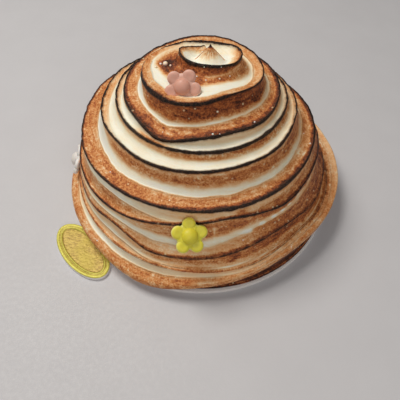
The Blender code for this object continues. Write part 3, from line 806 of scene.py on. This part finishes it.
# ---- materials ------------------------------------------------------------
class Nodes:
    def __init__(self, name):
        self.material = bpy.data.materials.new(name)
        self.material.use_nodes = True
        self.tree = self.material.node_tree
        self.shader = self.tree.nodes["Principled BSDF"]

    def new(self, kind, **settings):
        node = self.tree.nodes.new(kind)
        for key, value in settings.items():
            setattr(node, key, value)
        return node

    def link(self, a, b):
        self.tree.links.new(a, b)

    def put(self, socket, value):
        if isinstance(value, bpy.types.NodeSocket):
            self.link(value, socket)
        else:
            socket.default_value = value

    def field(self, name):
        return self.new("ShaderNodeAttribute", attribute_name=name).outputs["Fac"]

    def math(self, operation, a, b=0.0, c=None, clamp=False):
        node = self.new("ShaderNodeMath", operation=operation, use_clamp=clamp)
        self.put(node.inputs[0], a)
        self.put(node.inputs[1], b)
        if c is not None:
            self.put(node.inputs[2], c)
        return node.outputs[0]

    def ramp(self, value, low, high, to_low=0.0, to_high=1.0):
        node = self.new("ShaderNodeMapRange", interpolation_type="SMOOTHSTEP")
        for k, v in enumerate((value, low, high, to_low, to_high)):
            self.put(node.inputs[k], v)
        return node.outputs[0]

    def blend(self, share, a, b):
        node = self.new("ShaderNodeMix", data_type="FLOAT")
        for socket, value in zip(node.inputs[:1] + node.inputs[2:4], (share, a, b)):
            self.put(socket, value)
        return node.outputs[0]

    def coords(self):
        return self.new("ShaderNodeTexCoord").outputs["Object"]

    def scaled(self, vector, scale):
        node = self.new("ShaderNodeVectorMath", operation="MULTIPLY")
        self.put(node.inputs[0], vector)
        node.inputs[1].default_value = scale
        return node.outputs[0]

    def noise(self, vector, scale, detail=2.0, rough=0.55):
        node = self.new("ShaderNodeTexNoise")
        self.put(node.inputs["Vector"], vector)
        node.inputs["Scale"].default_value = scale
        node.inputs["Detail"].default_value = detail
        node.inputs["Roughness"].default_value = rough
        return node.outputs["Fac"]

    def voronoi(self, vector, scale):
        node = self.new("ShaderNodeTexVoronoi")
        self.put(node.inputs["Vector"], vector)
        node.inputs["Scale"].default_value = scale
        return node.outputs["Distance"], node.outputs["Color"]

    def colours(self, value, stops):
        node = self.new("ShaderNodeValToRGB")
        ramp_ = node.color_ramp
        while len(ramp_.elements) < len(stops):
            ramp_.elements.new(0.5)
        for element, (at, colour) in zip(ramp_.elements, stops):
            element.position = at
            element.color = (*colour, 1.0)
        self.put(node.inputs[0], value)
        return node.outputs["Color"]

    def mix(self, share, a, b):
        node = self.new("ShaderNodeMix", data_type="RGBA")
        self.put(node.inputs[0], share)
        for socket, value in ((node.inputs[6], a), (node.inputs[7], b)):
            self.put(socket, value if isinstance(value, bpy.types.NodeSocket) else (*value, 1.0))
        return node.outputs[2]

    def bump(self, height, strength, distance):
        node = self.new("ShaderNodeBump")
        node.inputs["Strength"].default_value = strength
        node.inputs["Distance"].default_value = distance
        self.put(node.inputs["Height"], height)
        return node.outputs["Normal"]


def peak_toast(m, here):
    """Browned tip, creases and streaks of the peak in the crater, in its own
    place on the object."""
    split = m.new("ShaderNodeSeparateXYZ")
    m.link(here, split.inputs[0])
    x = m.math("SUBTRACT", m.math("MULTIPLY", split.outputs[0], 1000.0), CRATER_X)
    y = m.math("SUBTRACT", m.math("MULTIPLY", split.outputs[1], 1000.0), CRATER_Y)
    far = m.math("SQRT", m.math("ADD", m.math("MULTIPLY", x, x), m.math("MULTIPLY", y, y)))
    waver = m.math("MULTIPLY_ADD", m.math("SUBTRACT", m.noise(here, 700.0, 2.0), 0.5), 0.5, 0.0)
    total = None
    for azimuth, reach in zip(CREASES, (4.4, 4.2)):
        cx, cy = math.cos(math.radians(azimuth)), math.sin(math.radians(azimuth))
        off = m.math("ADD", m.math("SUBTRACT", m.math("MULTIPLY", x, cy), m.math("MULTIPLY", y, cx)), waver)
        ahead = m.math("ADD", m.math("MULTIPLY", x, cx), m.math("MULTIPLY", y, cy))
        line = m.ramp(m.math("ABSOLUTE", off), 0.42, 0.08)
        line = m.math("MULTIPLY", line, m.ramp(ahead, 0.0, 0.3))
        line = m.math("MULTIPLY", line, m.ramp(ahead, reach, reach * 0.75, 0.0, 1.0))
        line = m.math("MULTIPLY", line, m.ramp(ahead, reach, 0.0, 0.52, 0.90))
        total = line if total is None else m.math("MAXIMUM", total, line)
    # streaks fan out from the tip over the front
    angle = m.math("ARCTAN2", y, x)
    fan = m.new("ShaderNodeCombineXYZ")
    m.link(m.math("MULTIPLY", angle, 4.5), fan.inputs[0])
    m.link(m.math("MULTIPLY", far, 0.55), fan.inputs[1])
    streaks = m.ramp(m.noise(fan.outputs[0], 1.6, 3.0, 0.6), 0.28, 0.70, 0.30, 1.0)
    front = m.ramp(m.math("MULTIPLY", y, -1.0), m.math("MULTIPLY_ADD", far, 0.10, -0.25),
                   m.math("MULTIPLY_ADD", far, 0.50, 0.05))
    fade = m.ramp(far, 3.9, 0.7)
    total = m.math("MAXIMUM", total, m.math("MULTIPLY", m.math("MULTIPLY", streaks, front), m.math("MULTIPLY", fade, 0.58)))
    total = m.math("MAXIMUM", total, m.ramp(far, 1.35, 0.45, 0.0, 0.95))
    # only inside the crater, on the peak
    high = m.ramp(m.math("MULTIPLY", split.outputs[2], 1000.0), CRATER_FLOOR + 0.05, CRATER_FLOOR + 0.45)
    return m.math("MULTIPLY", m.math("MULTIPLY", total, high), m.ramp(far, 4.6, 4.2))


def coat_place(m):
    """Share of the way from crest to crest, read from the spiral's own
    count so that it stays exact between the points of the mesh."""
    node = m.new("ShaderNodeAttribute", attribute_name="place")
    split = m.new("ShaderNodeSeparateXYZ")
    m.link(node.outputs["Vector"], split.inputs[0])
    turn = m.math("DIVIDE", m.math("ARCTAN2", split.outputs[1], split.outputs[0]), 2.0 * math.pi)
    return m.math("FRACT", m.math("ADD", m.math("SUBTRACT", split.outputs[2], turn), 4.0))


def meringue_material():
    m = Nodes("toasted_meringue_look")
    here = m.coords()
    share = coat_place(m)
    length = m.field("length")
    up = m.math("MULTIPLY", share, length)
    down = m.math("SUBTRACT", length, up)
    # lines that follow the spiral: stretched along it, tight across it
    split = m.new("ShaderNodeSeparateXYZ")
    m.link(here, split.inputs[0])
    lines = m.new("ShaderNodeCombineXYZ")
    m.link(m.math("MULTIPLY", split.outputs[0], 140.0), lines.inputs[0])
    m.link(m.math("MULTIPLY", split.outputs[1], 140.0), lines.inputs[1])
    m.link(m.math("MULTIPLY", m.field("along"), 1.3), lines.inputs[2])
    streak = m.noise(lines.outputs[0], 1.0, 3.0)
    broad = m.noise(here, 190.0, 3.0)
    grains = m.noise(here, 2300.0, 4.0, 0.70)
    bubbles = m.voronoi(here, 1700.0)[0]
    waver = m.math("SUBTRACT", m.noise(here, 330.0, 3.0), 0.5)
    top, wall, groove, shelf = m.field("top"), m.field("wall"), m.field("groove"), m.field("shelf")
    under = m.field("under")
    toast = m.blend(m.ramp(share, m.math("SUBTRACT", top, 0.03), m.math("ADD", top, 0.06)), under, wall)
    fade = m.math("MULTIPLY_ADD", waver, 0.10, m.field("fade"))
    toast = m.blend(m.ramp(share, m.math("SUBTRACT", fade, 0.15), m.math("ADD", fade, 0.09)), toast, groove)
    rise = m.math("MULTIPLY_ADD", waver, 0.05, m.field("rise"))
    past = m.math("MULTIPLY", m.math("SUBTRACT", share, rise), length)
    toast = m.blend(m.ramp(past, -0.10, 0.22, 0.0, 0.62), toast, shelf)
    toast = m.blend(m.ramp(past, 0.10, 1.10), toast, shelf)
    toast = m.math("ADD", toast, m.field("change"))
    edge = m.field("edge")
    dark = m.ramp(down, m.math("MULTIPLY", edge, 1.15), m.math("MULTIPLY", edge, 0.20))
    toast = m.math("MAXIMUM", toast, m.math("MULTIPLY", dark, m.field("edge_level")))
    toast = m.blend(m.field("own"), toast, m.field("plain"))
    burnt = m.math("MAXIMUM", m.math("SUBTRACT", m.math("MULTIPLY", m.field("low"), 1.1), up),
                   m.math("SUBTRACT", m.math("MULTIPLY", m.field("high"), 0.85), down))
    # no burnt line where its width is next to nothing
    nearest = m.math("MAXIMUM", m.math("MULTIPLY", m.field("low"), m.math("LESS_THAN", up, down)),
                     m.math("MULTIPLY", m.field("high"), m.math("GREATER_THAN", up, down)))
    burnt = m.math("SUBTRACT", burnt, m.ramp(nearest, 0.06, 0.02))
    level = m.math("MAXIMUM", toast, peak_toast(m, here))
    brown = m.ramp(level, 0.16, 0.50)
    patches = m.noise(here, 620.0, 3.0, 0.6)
    level = m.math("MULTIPLY_ADD", m.math("SUBTRACT", broad, 0.5), m.math("MULTIPLY_ADD", brown, 0.34, 0.10), level)
    level = m.math("MULTIPLY_ADD", m.math("SUBTRACT", patches, 0.5), m.math("MULTIPLY_ADD", brown, 0.58, 0.03), level)
    level = m.math("MULTIPLY_ADD", m.math("SUBTRACT", streak, 0.5), m.math("MULTIPLY_ADD", brown, 0.46, 0.16), level)
    level = m.math("MULTIPLY_ADD", m.math("SUBTRACT", grains, 0.5), m.math("MULTIPLY_ADD", brown, 0.80, 0.07), level)
    level = m.math("MULTIPLY_ADD", m.math("SUBTRACT", bubbles, 0.35), m.math("MULTIPLY", brown, -0.20), level)
    colour = m.colours(level, (
        (0.00, (0.90, 0.89, 0.78)),
        (0.05, (0.90, 0.85, 0.69)),
        (0.12, (0.87, 0.73, 0.50)),
        (0.26, (0.80, 0.47, 0.23)),
        (0.42, (0.65, 0.262, 0.078)),
        (0.58, (0.455, 0.130, 0.034)),
        (0.74, (0.235, 0.058, 0.018)),
        (0.88, (0.085, 0.023, 0.010)),
        (1.00, (0.035, 0.013, 0.007)),
    ))
    # light sugar specks on the toasted parts, partly real sugar grains and partly painted glints
    near, which = m.voronoi(here, 780.0)
    pick = m.new("ShaderNodeSeparateColor")
    m.link(which, pick.inputs[0])
    chosen = m.math("GREATER_THAN", pick.outputs[0], 0.80)
    speck_and_glint = m.math("MULTIPLY", m.ramp(near, 0.30, 0.16), chosen)
    speck_and_glint = m.math("MULTIPLY", speck_and_glint, m.ramp(toast, 0.38, 0.60))
    colour = m.mix(m.math("MULTIPLY", speck_and_glint, 0.85), colour, (0.92, 0.68, 0.40))
    # the burnt line on the crests
    ragged = m.math("MULTIPLY_ADD", m.math("SUBTRACT", m.noise(here, 620.0, 3.0, 0.65), 0.5), 0.62, burnt)
    black = m.ramp(ragged, -0.08, 0.08)
    halo = m.ramp(ragged, -0.50, 0.0)
    colour = m.mix(m.math("MULTIPLY", halo, 0.55), colour, (0.12, 0.040, 0.016))
    char = m.mix(m.ramp(m.noise(here, 2200.0, 2.0), 0.40, 0.70), (0.007, 0.004, 0.003), (0.060, 0.024, 0.012))
    colour = m.mix(black, colour, char)
    m.put(m.shader.inputs["Base Color"], colour)
    rough = m.ramp(toast, 0.15, 0.6, 0.66, 0.40)
    rough = m.math("MULTIPLY_ADD", m.math("SUBTRACT", grains, 0.5), 0.45, rough)
    m.put(m.shader.inputs["Roughness"], rough)
    m.shader.inputs["Specular IOR Level"].default_value = 0.24
    m.shader.inputs["Subsurface Weight"].default_value = 0.08
    m.shader.inputs["Subsurface Radius"].default_value = (1.0, 0.6, 0.35)
    m.shader.inputs["Subsurface Scale"].default_value = 0.0008
    height = m.math("MULTIPLY", grains, m.math("MULTIPLY_ADD", brown, 0.95, 0.14))
    height = m.math("MULTIPLY_ADD", bubbles, m.math("MULTIPLY", brown, 0.55), height)
    height = m.math("MULTIPLY_ADD", m.noise(here, 3600.0, 2.0), 0.22, height)
    height = m.math("MULTIPLY_ADD", speck_and_glint, 1.0, height)
    height = m.math("MULTIPLY_ADD", streak, 0.40, height)
    # the scraper's step between groove and shelf
    outer = m.math("SUBTRACT", 1.0, m.field("own"))
    step = m.math("MULTIPLY", m.ramp(m.math("ABSOLUTE", m.math("SUBTRACT", past, 0.15)), 0.45, 0.0), outer)
    height = m.math("MULTIPLY_ADD", step, 0.9, height)
    m.put(m.shader.inputs["Normal"], m.bump(height, 0.75, 0.00030))
    return m.material


def sugar_material(name, body, pale, deep):
    m = Nodes(name)
    here = m.coords()
    rim = m.field("rim")
    fine = m.noise(here, 1800.0, 3.0)
    colour = m.mix(m.ramp(rim, 0.80, 0.98, 0.0, 0.75), body, pale)
    colour = m.mix(m.ramp(rim, 0.45, -0.2, 0.0, 0.30), colour, deep)
    colour = m.mix(m.math("MULTIPLY", m.ramp(m.noise(here, 420.0, 2.0), 0.4, 0.7), 0.25), colour, deep)
    m.put(m.shader.inputs["Base Color"], colour)
    m.put(m.shader.inputs["Roughness"], m.ramp(fine, 0.3, 0.7, 0.42, 0.58))
    m.shader.inputs["Subsurface Weight"].default_value = 0.18
    m.shader.inputs["Subsurface Radius"].default_value = (1.0, 0.7, 0.5)
    m.shader.inputs["Subsurface Scale"].default_value = 0.0008
    m.put(m.shader.inputs["Normal"], m.bump(fine, 0.25, 0.00012))
    return m.material


def bead_material():
    m = Nodes("syrup_bead_look")
    here = m.coords()
    tint = m.noise(here, 260.0, 1.0)
    # near-white colour: partly the beads' own pale tone, partly painted glint
    m.put(m.shader.inputs["Base Color"], m.mix(m.ramp(tint, 0.35, 0.65), (0.95, 0.91, 0.87), (0.92, 0.74, 0.56)))
    m.put(m.shader.inputs["Roughness"], m.ramp(m.noise(here, 2500.0, 1.0), 0.3, 0.7, 0.08, 0.20))
    m.shader.inputs["Specular IOR Level"].default_value = 0.6
    m.shader.inputs["Subsurface Weight"].default_value = 0.3
    m.shader.inputs["Subsurface Scale"].default_value = 0.0006
    m.put(m.shader.inputs["Normal"], m.bump(m.noise(here, 1500.0, 1.0), 0.1, 0.0001))
    return m.material


def card_material():
    m = Nodes("foil_card_look")
    here = m.coords()
    cut, rim = m.field("cut"), m.field("rim")
    wrinkle = m.noise(m.scaled(here, (1.0, 1.5, 0.3)), 1150.0, 3.0, 0.65)
    broad = m.noise(here, 160.0, 2.0)
    # the foil is lighter where the wrinkles rise: painted sheen
    field = m.mix(m.ramp(wrinkle, 0.36, 0.64), (0.32, 0.20, 0.040), (0.62, 0.46, 0.12))
    field = m.mix(m.math("MULTIPLY", m.ramp(broad, 0.35, 0.65), 0.5), field, (0.50, 0.40, 0.05))
    bright = m.mix(m.ramp(wrinkle, 0.25, 0.75), (0.56, 0.50, 0.08), (0.74, 0.68, 0.14))
    foil = m.mix(rim, field, bright)
    board = m.mix(m.noise(here, 1400.0, 3.0), (0.80, 0.75, 0.74), (0.95, 0.91, 0.88))
    m.put(m.shader.inputs["Base Color"], m.mix(m.ramp(cut, 0.35, 0.65), foil, board))
    m.put(m.shader.inputs["Metallic"], m.ramp(cut, 0.35, 0.65, 0.30, 0.0))
    rough = m.math("ADD", m.ramp(wrinkle, 0.3, 0.7, 0.40, 0.56), m.math("MULTIPLY", cut, 0.30))
    m.put(m.shader.inputs["Roughness"], rough)
    m.put(m.shader.inputs["Normal"], m.bump(wrinkle, 0.8, 0.00020))
    return m.material


def floor_material():
    m = Nodes("floor_look")
    here = m.coords()
    spots = m.noise(here, 60.0, 3.0)
    m.put(m.shader.inputs["Base Color"], m.mix(spots, (0.54, 0.53, 0.55), (0.59, 0.58, 0.60)))
    m.put(m.shader.inputs["Roughness"], m.ramp(m.noise(here, 900.0, 2.0), 0.3, 0.7, 0.55, 0.70))
    m.put(m.shader.inputs["Normal"], m.bump(m.noise(here, 1800.0, 3.0), 0.12, 0.0002))
    return m.material


# ---- build ----------------------------------------------------------------
points, faces, fields = fine_meringue()
coat = mesh_object("meringue_coat", points, faces, fields)
coat.data.materials.append(meringue_material())
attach(coat, "root")
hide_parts("meringue")

LOOKS = {
    "flower_pink": ("pink_sugar", (0.70, 0.37, 0.28), (0.78, 0.50, 0.42), (0.62, 0.27, 0.19)),
    "flower_yellow": ("yellow_sugar", (0.76, 0.67, 0.045), (0.86, 0.82, 0.26), (0.58, 0.50, 0.02)),
    "flower_white": ("white_sugar", (0.78, 0.74, 0.71), (0.88, 0.86, 0.84), (0.62, 0.56, 0.53)),
}
for name, centre, direction, spin, scale in FLOWERS:
    flower = fine_flower(name, centre, direction, spin, scale)
    slot, body, pale, deep = LOOKS[name]
    flower.data.materials.append(sugar_material(slot + "_look", body, pale, deep))
    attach(flower, "root")
    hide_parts(name)

drops_p, drops_f = bead_mesh(points, faces)
drops = mesh_object("syrup_beads", drops_p, drops_f)
drops.data.materials.append(bead_material())
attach(drops, "root")

card = fine_card()
card.data.materials.append(card_material())
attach(card, "root")
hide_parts("cake_card")

# ---- floor, light and camera ----------------------------------------------
floor = mesh_object("floor", [(-900, -900, 0), (900, -900, 0), (900, 900, 0), (-900, 900, 0)], [(0, 1, 2, 3)])
floor.data.materials.append(floor_material())

world = bpy.data.worlds.new("studio")
world.use_nodes = True
world.node_tree.nodes["Background"].inputs["Color"].default_value = (1.0, 0.975, 0.94, 1.0)
world.node_tree.nodes["Background"].inputs["Strength"].default_value = 0.17
bpy.context.scene.world = world


def lamp(name, place, power, size, colour):
    light = bpy.data.lights.new(name, "AREA")
    light.shape = "DISK"
    light.size = size
    light.energy = power
    light.color = colour
    obj = bpy.data.objects.new(name, light)
    obj.location = place
    obj.rotation_euler = (Vector((0.0, 0.0, 0.02)) - Vector(place)).to_track_quat("-Z", "Y").to_euler()
    bpy.context.scene.collection.objects.link(obj)
    return obj


lamp("key", (-0.17, 0.10, 0.44), 1.55, 0.22, (1.0, 0.97, 0.91))
lamp("fill", (0.06, -0.36, 0.34), 0.60, 0.34, (1.0, 0.97, 0.93))

bpy.context.scene.view_settings.view_transform = "Standard"

# The photo's camera: close above the cake, looking 51.5 degrees down.
PITCH = math.radians(51.5)
DISTANCE = 0.1507
AIM = Vector((-0.00023, 0.0, -0.0089))
ahead = Vector((0.0, math.cos(PITCH), -math.sin(PITCH)))
lens = bpy.data.cameras.new("photo_camera")
lens.sensor_width = 36.0
lens.lens = 433.0 * 36.0 / 400.0
lens.clip_start = 0.002
camera = bpy.data.objects.new("photo_camera", lens)
camera.location = AIM - ahead * DISTANCE
camera.rotation_euler = (math.radians(90.0) - PITCH, 0.0, 0.0)
bpy.context.scene.collection.objects.link(camera)
bpy.context.scene.camera = camera

bpy.context.view_layer.update()
